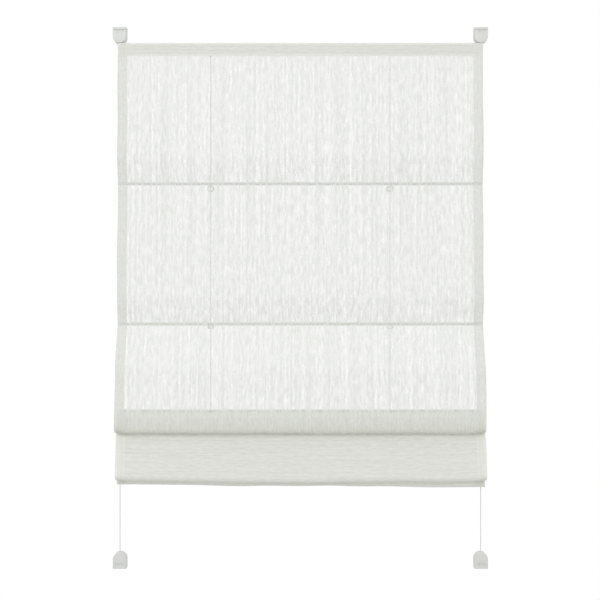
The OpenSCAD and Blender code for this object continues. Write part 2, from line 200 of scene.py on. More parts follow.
@dataclass
class ClothLine:
    """The cloth's middle line from its top edge to its bottom edge, as points in Y and Z."""

    bends: tuple[Bend, ...]
    arc_steps: int = 12
    run_step: float = 3.5

    def __post_init__(self) -> None:
        """Samples the line."""
        bends = self.bends
        points: list[np.ndarray] = []
        backs: list[np.ndarray] = []
        self.middle: dict[int, int] = {}
        for index, bend in enumerate(bends):
            start = self._way(bends[index - 1], bend) if index else self._way(bend, bends[1])
            last = index == len(bends) - 1
            end = start if last else self._turned(start, self._way(bend, bends[index + 1]), bend.turn)
            steps = self.arc_steps if bend.radius else 0
            first = len(points)
            for step in range(steps + 1):
                way = start + (end - start) * step / max(steps, 1)
                back = np.array([-math.sin(way), math.cos(way)])
                points.append(bend.centre - bend.signed * back)
                backs.append(back)
            self.middle[index] = first + steps // 2
            if not last:
                self._run(points, backs, bends[index + 1], end)
        self.points = np.array(points)
        self.backs = np.array(backs)
        lengths = np.linalg.norm(np.diff(self.points, axis=0), axis=1)
        self.arc = np.concatenate([[0.0], np.cumsum(lengths)])

    def lowest(self, index: int) -> int:
        """Returns the place of the lowest point of a bend among the line's points."""
        first = self.middle[index] - self.arc_steps // 2
        return first + int(np.argmin(self.points[first : first + self.arc_steps + 1, 1]))

    @staticmethod
    def _way(a: Bend, b: Bend) -> float:
        """Finds the direction of the straight run between two bends.

        Args:
            a: the bend that the run leaves.
            b: the bend that it leads to.

        Returns:
            The direction, as an angle.
        """
        span = b.centre - a.centre
        lean = math.asin((b.signed - a.signed) / float(np.linalg.norm(span)))
        return math.atan2(span[1], span[0]) - lean

    @staticmethod
    def _turned(start: float, end: float, turn: Turn) -> float:
        """Returns the end angle of a turn, past its start on the side that it turns to."""
        return start + turn.value * ((turn.value * (end - start)) % math.tau)

    def _run(self, points: list[np.ndarray], backs: list[np.ndarray], bend: Bend, way: float) -> None:
        """Adds the points of the straight run to a bend.

        Args:
            points: the line so far.
            backs: the directions to its back so far.
            bend: the bend that the run leads to.
            way: direction of the run, as an angle.
        """
        back = np.array([-math.sin(way), math.cos(way)])
        start, end = points[-1], bend.centre - bend.signed * back
        count = int(np.linalg.norm(end - start) / self.run_step)
        for step in range(1, count):
            points.append(start + (end - start) * step / count)
            backs.append(back)


@dataclass(frozen=True)
class Ripple:
    """A wave across the cloth: its length, its share, and what turns its phase."""

    length: float
    share: float
    by_phase: float
    by_arc: float = 0.0

    def at(self, x: np.ndarray, phase: float, arc: float) -> np.ndarray:
        """Returns the wave at places across the cloth, for a phase and a distance from the top."""
        return self.share * np.sin(x / self.length + self.by_phase * phase + self.by_arc * arc)


@dataclass
class Drape:
    """How far the hung cloth strays from its plain line, in millimetres, the same at each run.

    A field with seven values has one for each section, from the top hem down to the bottom hem.
    """

    line: ClothLine
    half_w: float
    sway: tuple[float, ...] = (0.0, 0.65, 0.65, 0.35, 0.3, 0.2, 0.0)
    sway_phase: tuple[float, ...] = (0.0, 0.9, 1.8, 2.7, 2.7, 2.7, 2.7)
    wave: tuple[float, ...] = (0.0, 0.0, 0.0, 0.35, 0.45, 0.65, 0.0)
    lean: tuple[float, ...] = (0.0, 0.0, 0.0, 0.0, 0.3, 2.0, 0.0)
    curl: tuple[float, ...] = (0.0, 0.0, 0.0, 8.0, 2.0, 0.5, 0.0)
    sag: tuple[float, ...] = (0.0, 0.0, 0.0, 0.0, 2.5, 0.0, 0.0)
    skew: tuple[float, ...] = (0.0, 0.0, 0.0, 0.0, 1.5, 0.5, 0.0)
    sway_ripples: tuple[Ripple, ...] = (Ripple(31.0, 1.0, 1.0), Ripple(13.7, 0.6, 2.1, 1.0 / 90.0))
    wave_ripples: tuple[Ripple, ...] = (Ripple(47.0, 1.0, 1.3), Ripple(17.0, 0.5, 1.0))
    curl_w: float = 22.0
    edge_sway: float = 0.5
    edge_l: float = 23.0

    def __post_init__(self) -> None:
        """Finds where the cloth is held."""
        line = self.line
        held = [line.arc[line.middle[i]] for i in (HEM_TURN, ROD_1, ROD_2, ROD_3, ROD_4, RAIL)]
        self.held = np.array([0.0, *held, line.arc[-1]])

    def shift(self, x: np.ndarray, arc: float) -> tuple[np.ndarray, np.ndarray, np.ndarray]:
        """Works out how far one row of the cloth strays.

        Args:
            x: places across the cloth.
            arc: distance of the row from the cloth's top edge.

        Returns:
            The shifts in X, towards the back and in Z.
        """
        last = len(self.sway) - 1
        section = int(np.clip(np.searchsorted(self.held, arc, side="right") - 1, 0, last))
        low, high = self.held[section], self.held[section + 1]
        slack = math.sin(math.pi * np.clip((arc - low) / (high - low), 0.0, 1.0))
        side, share = np.sign(x), x / self.half_w
        ripple = sum(r.at(x, self.sway_phase[section], arc) for r in self.sway_ripples)
        edge = self.edge_sway * np.sin(arc / self.edge_l + side) * slack * side * np.abs(share) ** 4
        edge += self.skew[section] * slack**2
        end = np.clip((np.abs(x) - self.half_w + self.curl_w) / self.curl_w, 0.0, 1.0)
        drop = self.wave[section] * sum(r.at(x, section, arc) for r in self.wave_ripples)
        drop += self.curl[section] * end**2 - self.lean[section] * share
        drop += self.sag[section] * (3.0 * share**2 - 1.0) / 2.0
        return edge, self.sway[section] * slack * ripple, slack**3 * drop


@dataclass(frozen=True)
class Row:
    """One row of cloth: place, way to its back, distance from the top edge, layer, side hems' share."""

    point: np.ndarray
    back: np.ndarray
    arc: float
    layer: float = 0.0
    fold: float = 1.0


@dataclass
class ClothMaker:
    """Makes the sheets of the cloth, each one grid that is folded at its hems."""

    sizes: BlindSizes
    line: ClothLine
    step: float = 4.0
    hem_columns: int = 5
    hem_steps: int = 6
    hem_layer: float = 1.3
    hem_fold: float = 0.45
    tunnel_faces: int = 28
    tunnel_step: float = 12.0
    tunnel_apart: float = 41.0

    def __post_init__(self) -> None:
        """Works out the columns of the grid."""
        half, hem, thick = self.sizes.cloth_w / 2, self.sizes.side_hem, self.sizes.cloth_t
        self.drape = Drape(self.line, half)
        inner = np.linspace(hem - half, half - hem, int(2 * (half - hem) / self.step))
        band = np.linspace(half - thick / 2, half - hem, self.hem_columns)
        right = [(x, 0.0) for x in band[::-1]] + [(half, thick / 2)] + [(x, thick) for x in band]
        left = [(-x, layer) for x, layer in reversed(right)]
        columns = left + [(x, 0.0) for x in inner[1:-1]] + right
        self.column_x = np.array([x for x, _ in columns])
        self.column_layer = np.array([layer for _, layer in columns])
        spans = np.hypot(np.diff(self.column_x), np.diff(self.column_layer))
        self.column_u = np.concatenate([[0.0], np.cumsum(spans)])

    @property
    def cut_w(self) -> float:
        """Width of the cut cloth with its side hems, in metres."""
        return float(self.column_u[-1]) * MM

    def rows(self, first: int, last: int) -> list[Row]:
        """Returns the rows of a stretch of the cloth's line, both ends included."""
        line = self.line
        return [Row(line.points[i], line.backs[i], line.arc[i]) for i in range(first, last + 1)]

    def hem_rows(self, rows: list[Row], height: float, at_start: bool) -> list[Row]:
        """Turns a hem to the back at one end of a stretch of rows.

        Args:
            rows: rows of the plain cloth.
            height: height of the hem.
            at_start: true for a hem at the first row.

        Returns:
            The rows, with those of the hem added.
        """
        edge = rows[0] if at_start else rows[-1]
        way = 1.0 if at_start else -1.0
        along = np.array([0.0, -way])
        thick, fold = self.sizes.cloth_t, self.hem_fold
        flat = [replace(row, fold=fold) if abs(row.arc - edge.arc) <= height else row for row in rows]
        turned = [
            Row(edge.point + along * d, edge.back, edge.arc - way * d, self.hem_layer * thick, -fold)
            for d in np.linspace(thick / 2, height, self.hem_steps)
        ]
        crown = Row(edge.point, edge.back, edge.arc, self.hem_layer * thick / 2, 0.0)
        if at_start:
            return [*reversed(turned), crown, *flat]
        return [*flat, crown, *turned]

    def sheet(self, name: str, rows: list[Row]) -> Piece:
        """Makes one sheet.

        Args:
            name: the piece's name.
            rows: its rows from top to bottom.

        Returns:
            The sheet, with its flat pattern as a UV map.
        """
        grid = np.zeros((len(rows), len(self.column_x), 3))
        for k, row in enumerate(rows):
            edge, sway, drop = self.drape.shift(self.column_x, row.arc)
            layer = row.layer + row.fold * self.column_layer + sway
            grid[k, :, 0] = self.column_x + edge
            grid[k, :, 1] = row.point[0] + row.back[0] * layer
            grid[k, :, 2] = row.point[1] + row.back[1] * layer + drop
        flat_v = -np.array([row.arc for row in rows])
        uv = np.stack(np.broadcast_arrays(self.column_u[None, :], flat_v[:, None]), axis=-1)
        return mesh_grid(name, grid * MM, uv * MM)

    def tunnel(self, name: str, rod: int) -> Piece:
        """Makes the sewn tunnel of one rod, with slits at its rings.

        Args:
            name: the piece's name.
            rod: which rod, from the top.

        Returns:
            The tunnel, as one piece.
        """
        sizes = self.sizes
        half, slit = sizes.cloth_w / 2, sizes.slit_w / 2
        runs = (
            (-half, -sizes.ring_x - slit),
            (slit - sizes.ring_x, sizes.ring_x - slit),
            (sizes.ring_x + slit, half),
        )
        turn = np.linspace(0.0, math.tau, self.tunnel_faces + 1)
        parts = []
        for low, high in runs:
            x = np.linspace(low, high, max(2, int((high - low) / self.tunnel_step)))
            grid = np.zeros((len(turn), len(x), 3))
            grid[:, :, 0] = x[None, :]
            grid[:, :, 1] = sizes.rod_y[rod] - sizes.tunnel_r * np.cos(turn)[:, None]
            grid[:, :, 2] = sizes.rod_z[rod] + sizes.tunnel_r * np.sin(turn)[:, None]
            arc = sizes.tunnel_r * turn + self.tunnel_apart * rod
            uv = np.stack(np.broadcast_arrays(x[None, :], arc[:, None]), axis=-1)
            parts.append(mesh_grid(name, grid * MM, uv * MM))
        return joined(parts, name)


def mesh_grid(name: str, grid: np.ndarray, uv: np.ndarray) -> Piece:
    """Makes an open surface from a grid of points.

    Args:
        name: the object's name.
        grid: points by row and column, in metres.
        uv: flat pattern by row and column, in metres.

    Returns:
        The smooth-shaded object.
    """
    rows, columns = grid.shape[:2]
    index = np.arange(rows * columns).reshape(rows, columns)
    faces = np.stack(
        [index[:-1, :-1], index[1:, :-1], index[1:, 1:], index[:-1, 1:]], axis=-1
    ).reshape(-1, 4)
    mesh = bpy.data.meshes.new(name)
    mesh.from_pydata(grid.reshape(-1, 3).tolist(), [], faces.tolist())
    layer = mesh.uv_layers.new(name="flat")
    layer.data.foreach_set("uv", uv.reshape(-1, 2)[faces.reshape(-1)].astype(np.float32).reshape(-1))
    mesh.polygons.foreach_set("use_smooth", np.ones(len(faces), bool))
    mesh.update()
    piece = bpy.data.objects.new(name, mesh)
    bpy.context.scene.collection.objects.link(piece)
    return piece


def joined(parts: list[Piece], name: str) -> Piece:
    """Joins several pieces into one object.

    Args:
        parts: the pieces.
        name: the name of the joined object.

    Returns:
        The joined object.
    """
    bpy.ops.object.select_all(action="DESELECT")
    for part in parts:
        part.select_set(True)
    bpy.context.view_layer.objects.active = parts[0]
    bpy.ops.object.join()
    parts[0].name = name
    return parts[0]


@dataclass(frozen=True)
class CordMaker:
    """Makes the runs of the tension cords, which lie in one plane."""

    sizes: BlindSizes
    faces: int = 14
    corner_points: int = 9
    rail_reach: float = 12.0
    outer_splits: tuple[float, float] = (45.0, 80.0)

    def corner(self, x: float, z: float, start: float, end: float) -> list[Point]:
        """Lays out a quarter turn of cord.

        Args:
            x: X of its middle.
            z: Z of its middle.
            start: its first angle, in degrees.
            end: its last angle, in degrees.

        Returns:
            Its points in X and Z.
        """
        angles = np.radians(np.linspace(start, end, self.corner_points))
        r = self.sizes.bend_r
        return [(x + r * math.cos(a), z + r * math.sin(a)) for a in angles]

    def top_run(self) -> list[Point]:
        """Lays out the right-hand run from the top shoe through the top rail.

        Returns:
            Its points in X and Z.
        """
        s = self.sizes
        return [
            (s.cord_x, s.cord_top),
            *self.corner(s.cord_x - s.bend_r, s.top_rail_z + s.bend_r, 0, -90),
            *self.corner(s.ring_x + s.bend_r, s.top_rail_z - s.bend_r, 90, 180),
            (s.ring_x, s.hem_z),
        ]

    def low_run(self, top: float, bottom: float) -> list[Point]:
        """Lays out the right-hand run through the bottom rail.

        Args:
            top: height of its upper end.
            bottom: height of its lower end.

        Returns:
            Its points in X and Z.
        """
        s = self.sizes
        return [
            (s.ring_x, top),
            *self.corner(s.ring_x + s.bend_r, s.bottom_rail_z + s.bend_r, 180, 270),
            *self.corner(s.cord_x - s.bend_r, s.bottom_rail_z - s.bend_r, 90, 0),
            (s.cord_x, bottom),
        ]

    def run(self, name: str, points: list[Point], side: int) -> Piece:
        """Makes one run of cord.

        Args:
            name: the piece's name.
            points: its line in X and Z, for the right-hand side.
            side: 1 for the right, -1 for the left.

        Returns:
            The run, with its flat pattern as a UV map.
        """
        line = np.array(points) * [side, 1.0]
        ways = np.gradient(line, axis=0)
        ways /= np.linalg.norm(ways, axis=1)[:, None]
        turn = np.linspace(0.0, math.tau, self.faces + 1)
        grid = np.zeros((len(line), len(turn), 3))
        radius = self.sizes.cord_r
        grid[:, :, 0] = line[:, :1] - radius * ways[:, 1:] * np.cos(turn)
        grid[:, :, 1] = self.sizes.cord_y + radius * np.sin(turn)[None, :]
        grid[:, :, 2] = line[:, 1:] + radius * ways[:, :1] * np.cos(turn)
        arc = np.concatenate([[0.0], np.cumsum(np.linalg.norm(np.diff(line, axis=0), axis=1))])
        uv = np.stack(np.broadcast_arrays(radius * turn[None, :], arc[:, None]), axis=-1)
        return mesh_grid(name, grid * MM, uv * MM)


class Grain(Enum):
    """Kinds of fine relief on a surface."""

    MOULDED = "moulded"
    DRAWN = "drawn"
    HOOKED = "hooked"
    BRAIDED = "braided"


@dataclass(frozen=True)
class Finish:
    """A finish, with its colour as linear light and its relief in millimetres."""

    name: str
    color: Triple
    roughness: float
    specular: float = 0.35
    grain: Grain = Grain.MOULDED
    cells: float = 1500.0
    relief: float = 0.02
    shade: float = 0.03


FINISHES = (
    Finish("shoe", (0.75, 0.76, 0.735), 0.38, 0.5),
    Finish("plate", (0.78, 0.79, 0.77), 0.5),
    Finish("guide", (0.75, 0.75, 0.73), 0.45),
    Finish("cap", (0.74, 0.75, 0.73), 0.45),
    Finish("cord", (0.7, 0.705, 0.695), 0.8, 0.2, Grain.BRAIDED, relief=0.12, shade=0.08),
    Finish("rail", (0.88, 0.88, 0.85), 0.4, cells=2500.0, relief=0.015),
    Finish("hook_strip", (0.76, 0.76, 0.73), 0.9, 0.1, Grain.HOOKED, 900.0, 0.4, 0.12),
    Finish("loop_strip", (0.76, 0.76, 0.72), 0.95, 0.05, cells=1200.0, relief=0.4, shade=0.12),
    Finish("rod", (0.64, 0.65, 0.64), 0.4, grain=Grain.DRAWN, cells=2500.0, relief=0.03, shade=0.06),
    Finish("ring", (0.77, 0.78, 0.77), 0.3, 0.5, relief=0.01),
)


@dataclass(frozen=True)
class Slub:
    """Thick and thin places of one size in a weave, as noise cells a metre, and their share."""

    across: float
    along: float
    share: float


@dataclass(frozen=True)
class WeaveFinish:
    """A sheer slub weave, with its lengths in metres and its relief in millimetres.

    Over the last fold_l before the first fold's edge it is calmer, and its colour is darkened towards
    the edge as painted shade for the fold's shadowed underside.
    """

    name: str = "cloth"
    color: Triple = (0.87, 0.882, 0.845)
    roughness: float = 0.9
    specular: float = 0.1
    through: float = 0.05
    cover: float = 0.67
    contrast: float = 1.85
    hem_share: float = 0.35
    slubs: tuple[Slub, ...] = (Slub(280.0, 60.0, 0.9), Slub(800.0, 150.0, 0.45), Slub(230.0, 2.5, 0.65))
    relief: float = 0.06
    fold_l: float = 0.0
    fold_start: float = 12.0
    fold_calm: float = 0.3
    # colour factor at the first fold's edge: painted shade for the shadowed underside of the fold
    painted_fold_shade: Triple = (0.88, 0.88, 0.83)


SHEER = WeaveFinish()
# the front fall's cloth, with painted shade darkening its colour towards the first fold's edge
FALL = WeaveFinish("cloth_fall", fold_l=0.043)
# the same cloth for the hems, tunnels and stacked folds: a denser cover, and a lighter colour that is
# painted light for the light scattered among the layers
CLOSE_LIT = WeaveFinish(
    "cloth_close_lit",
    (0.96, 0.97, 0.915),
    cover=0.72,
    contrast=0.35,
    slubs=(Slub(70.0, 420.0, 0.9), Slub(150.0, 800.0, 0.45), Slub(6.0, 300.0, 0.65)),
    relief=0.04,
)


@dataclass(frozen=True)
class Seams:
    """Sewn lines and the first fold's edge on the flat cloth, in metres."""

    width: float
    columns: tuple[float, ...]
    rows: tuple[float, ...]
    fold: float
    thread: float = 0.0005
    stitch: float = 0.003
    dash: float = 0.7


class Tree:
    """Adds nodes to one material."""

    def __init__(self, name: str) -> None:
        """Makes the material.

        Args:
            name: the material's name.
        """
        self.material = bpy.data.materials.new(name)
        self.material.use_nodes = True
        self.nodes = self.material.node_tree.nodes
        self.links = self.material.node_tree.links
        self.shader = self.nodes["Principled BSDF"]

    def put(self, value: Any, socket: Socket) -> None:
        """Links a socket to another one, or gives it a value.

        Args:
            value: a socket to link from, or a plain value.
            socket: the socket that gets it.
        """
        if isinstance(value, Socket):
            self.links.new(value, socket)
        else:
            socket.default_value = value

    def math(self, operation: str, *values: Any, clamp: bool = False) -> Socket:
        """Adds a sum.

        Args:
            operation: Blender's name of the sum.
            values: sockets or plain values.
            clamp: true to keep the result from 0 to 1.

        Returns:
            The result.
        """
        node = self.nodes.new("ShaderNodeMath")
        node.operation = operation
        node.use_clamp = clamp
        for value, socket in zip(values, node.inputs):
            self.put(value, socket)
        return node.outputs["Value"]

    def scaled(self, place: Socket, scale: Triple) -> Socket:
        """Adds a stretch of a place.

        Args:
            place: the place.
            scale: stretch along each axis.

        Returns:
            The stretched place.
        """
        node = self.nodes.new("ShaderNodeVectorMath")
        node.operation = "MULTIPLY"
        self.put(place, node.inputs[0])
        self.put(scale, node.inputs[1])
        return node.outputs["Vector"]

    def flat(self) -> Socket:
        """Adds the place on the flat pattern.

        Returns:
            The place, in metres.
        """
        node = self.nodes.new("ShaderNodeUVMap")
        node.uv_map = "flat"
        return node.outputs["UV"]

    def solid(self) -> Socket:
        """Adds the place in the part's frame and returns it."""
        return self.nodes.new("ShaderNodeTexCoord").outputs["Object"]

    def split(self, place: Socket) -> tuple[Socket, Socket]:
        """Takes a place apart.

        Args:
            place: the place.

        Returns:
            Its first two coordinates.
        """
        node = self.nodes.new("ShaderNodeSeparateXYZ")
        self.put(place, node.inputs[0])
        return node.outputs["X"], node.outputs["Y"]

    def noise(self, place: Socket, detail: float = 2.0) -> Socket:
        """Adds noise.

        Args:
            place: a place, counted in noise cells.
            detail: layers of finer noise.

        Returns:
            The noise, from 0 to 1.
        """
        node = self.nodes.new("ShaderNodeTexNoise")
        self.put(1.0, node.inputs["Scale"])
        self.put(detail, node.inputs["Detail"])
        self.put(place, node.inputs["Vector"])
        return node.outputs["Fac"]

    def between(self, share: Socket, low: tuple[float, ...], high: tuple[float, ...]) -> Socket:
        """Adds a mix of two colours.

        Args:
            share: share of the second colour.
            low: the first colour.
            high: the second colour.

        Returns:
            The mixed colour.
        """
        node = self.nodes.new("ShaderNodeMix")
        node.data_type = "RGBA"
        self.put(share, node.inputs["Factor"])
        self.put((*low, 1.0), node.inputs["A"])
        self.put((*high, 1.0), node.inputs["B"])
        return node.outputs["Result"]

    def blend(self, share: Any, one: Socket, other: Socket) -> Socket:
        """Adds a mix of two shaders.

        Args:
            share: share of the second shader.
            one: the first shader.
            other: the second shader.

        Returns:
            The mixed shader.
        """
        node = self.nodes.new("ShaderNodeMixShader")
        self.put(share, node.inputs["Fac"])
        self.put(one, node.inputs[1])
        self.put(other, node.inputs[2])
        return node.outputs["Shader"]

    def bump(self, height: Socket, relief: float) -> None:
        """Raises the surface.

        Args:
            height: a height from 0 to 1.
            relief: what a height of 1 is, in millimetres.
        """
        node = self.nodes.new("ShaderNodeBump")
        self.put(relief * MM, node.inputs["Distance"])
        self.put(height, node.inputs["Height"])
        self.put(node.outputs["Normal"], self.shader.inputs["Normal"])

    def tint(self, color: Triple, share: float, height: Socket) -> None:
        """Makes the surface darker in its low places and lighter in its high ones.

        Args:
            color: the surface's colour.
            share: share of the colour that it changes by.
            height: a height from 0 to 1.
        """
        low = tuple(c * (1.0 - share) for c in color)
        high = tuple(min(c * (1.0 + share), 1.0) for c in color)
        self.put(self.between(height, low, high), self.shader.inputs["Base Color"])

    def surface(self, shader: Socket) -> None:
        """Makes a shader the material's surface."""
        self.put(shader, self.nodes["Material Output"].inputs["Surface"])


@dataclass(frozen=True)
class MaterialMaker:
    """Makes the node materials."""

    cord_r: float
    seams: Seams
    strands: int = 4
    strand_l: float = 1.5
    drawn_stretch: float = 0.01
    roughness_spread: float = 0.16

    def plain(self, finish: Finish) -> bpy.types.Material:
        """Makes a moulded, painted or braided material.

        Args:
            finish: its colour, gloss and relief.

        Returns:
            The material.
        """
        tree = Tree(finish.name)
        height = self.height(tree, finish)
        tree.tint(finish.color, finish.shade, height)
        tree.bump(height, finish.relief)
        spread = self.roughness_spread
        roughness = tree.math("MULTIPLY_ADD", height, spread, finish.roughness - spread / 2, clamp=True)
        tree.put(roughness, tree.shader.inputs["Roughness"])
        tree.put(finish.specular, tree.shader.inputs["Specular IOR Level"])
        return tree.material

    def height(self, tree: Tree, finish: Finish) -> Socket:
        """Adds the relief of a finish.

        Args:
            tree: the material's nodes.
            finish: kind and size of the relief.

        Returns:
            The height, from 0 to 1.
        """
        cells = finish.cells
        match finish.grain:
            case Grain.BRAIDED:
                return self.braid(tree)
            case Grain.HOOKED:
                node = tree.nodes.new("ShaderNodeTexVoronoi")
                tree.put(1.0, node.inputs["Scale"])
                tree.put(tree.scaled(tree.solid(), (cells, cells, cells)), node.inputs["Vector"])
                return tree.math("SUBTRACT", 1.0, node.outputs["Distance"], clamp=True)
            case Grain.DRAWN:
                return tree.noise(tree.scaled(tree.solid(), (self.drawn_stretch * cells, cells, cells)))
        return tree.noise(tree.scaled(tree.solid(), (cells, cells, cells)))

    def braid(self, tree: Tree) -> Socket:
        """Adds strands that cross on the flat pattern.

        Args:
            tree: the material's nodes.

        Returns:
            The height, from 0 to 1.
        """
        around, along = tree.split(tree.flat())
        turn = tree.math("MULTIPLY", around, self.strands / (self.cord_r * MM))
        rise = tree.math("MULTIPLY", along, math.tau / (self.strand_l * MM))
        one = tree.math("SINE", tree.math("ADD", turn, rise))
        other = tree.math("SINE", tree.math("SUBTRACT", turn, rise))
        return tree.math("MULTIPLY_ADD", tree.math("MAXIMUM", one, other), 0.5, 0.5)

    def weave(self, finish: WeaveFinish) -> bpy.types.Material:
        """Makes the sheer cloth.

        Args:
            finish: colour and weave of the cloth.

        Returns:
            The material.
        """
        tree = Tree(finish.name)
        threads = tree.shader
        cover, sewn = self.cover(tree, finish), self.sewn(tree)
        color: Any = (*finish.color, 1.0)
        # painted shade: the cloth's colour is mixed towards a darker tone as the first fold's edge nears
        if finish.fold_l:
            edge = tree.math("POWER", self.near_fold(tree, finish), 2.0)
            painted_shade_color = tuple(c * shade for c, shade in zip(finish.color, finish.painted_fold_shade))
            color = tree.between(edge, finish.color, painted_shade_color)
        tree.put(color, threads.inputs["Base Color"])
        tree.put(finish.roughness, threads.inputs["Roughness"])
        tree.put(finish.specular, threads.inputs["Specular IOR Level"])
        tree.bump(tree.math("ADD", cover, sewn), finish.relief)
        through = tree.nodes.new("ShaderNodeBsdfTranslucent")
        tree.put(color, through.inputs["Color"])
        cloth = tree.blend(finish.through, threads.outputs["BSDF"], through.outputs["BSDF"])
        clear = tree.nodes.new("ShaderNodeBsdfTransparent")
        filled = tree.math("MAXIMUM", cover, sewn)
        tree.surface(tree.blend(filled, clear.outputs["BSDF"], cloth))
        return tree.material

    def from_side(self, tree: Tree) -> Socket:
        """Adds the distance from the nearer cut side of the cloth and returns it."""
        across, _ = tree.split(tree.flat())
        return tree.math("MINIMUM", across, tree.math("SUBTRACT", self.seams.width, across))

    def near_fold(self, tree: Tree, finish: WeaveFinish) -> Socket:
        """Adds how near the first fold's edge is.

        Args:
            tree: the material's nodes.
            finish: gives the length that counts as near.

        Returns:
            The nearness, from 0 to 1 at the edge.
        """
        _, along = tree.split(tree.flat())
        start = 1.0 - self.seams.fold / finish.fold_l
        return tree.math("MULTIPLY_ADD", along, -1.0 / finish.fold_l, start, clamp=True)

    def cover(self, tree: Tree, finish: WeaveFinish) -> Socket:
        """Adds how much of the surface the threads cover.

        Args:
            tree: the material's nodes.
            finish: colour and weave of the cloth.

        Returns:
            The share, from 0 to 1.
        """
        swing: Any = 0.0
        for slub in finish.slubs:
            noise = tree.noise(tree.scaled(tree.flat(), (slub.across, slub.along, 1.0)))
            part = tree.math("MULTIPLY_ADD", noise, slub.share, -slub.share / 2)
            swing = tree.math("ADD", swing, part)
        hem = tree.math("LESS_THAN", self.from_side(tree), max(self.seams.columns))
        full = finish.contrast
        contrast = tree.math("MULTIPLY_ADD", hem, (finish.hem_share - 1.0) * full, full)
        if finish.fold_l:
            near = self.near_fold(tree, finish)
            layered = tree.math("MULTIPLY", near, finish.fold_start, clamp=True)
            calm = tree.math("MULTIPLY_ADD", layered, finish.fold_calm - 1.0, 1.0)
            contrast = tree.math("MULTIPLY", contrast, calm)
        return tree.math("MULTIPLY_ADD", swing, contrast, finish.cover, clamp=True)

    def sewn(self, tree: Tree) -> Socket:
        """Adds the stitches.

        Args:
            tree: the material's nodes.

        Returns:
            1 on a stitch, and 0 elsewhere.
        """
        seams = self.seams
        across, along = tree.split(tree.flat())
        side, depth = self.from_side(tree), tree.math("ABSOLUTE", along)
        total: Any = 0.0
        for place, run, lines in ((side, along, seams.columns), (depth, across, seams.rows)):
            step = tree.math("FRACT", tree.math("DIVIDE", run, seams.stitch))
            dash = tree.math("LESS_THAN", step, seams.dash)
            for line in lines:
                near = tree.math("COMPARE", place, line, seams.thread / 2)
                total = tree.math("MAXIMUM", total, tree.math("MULTIPLY", near, dash))
        return total


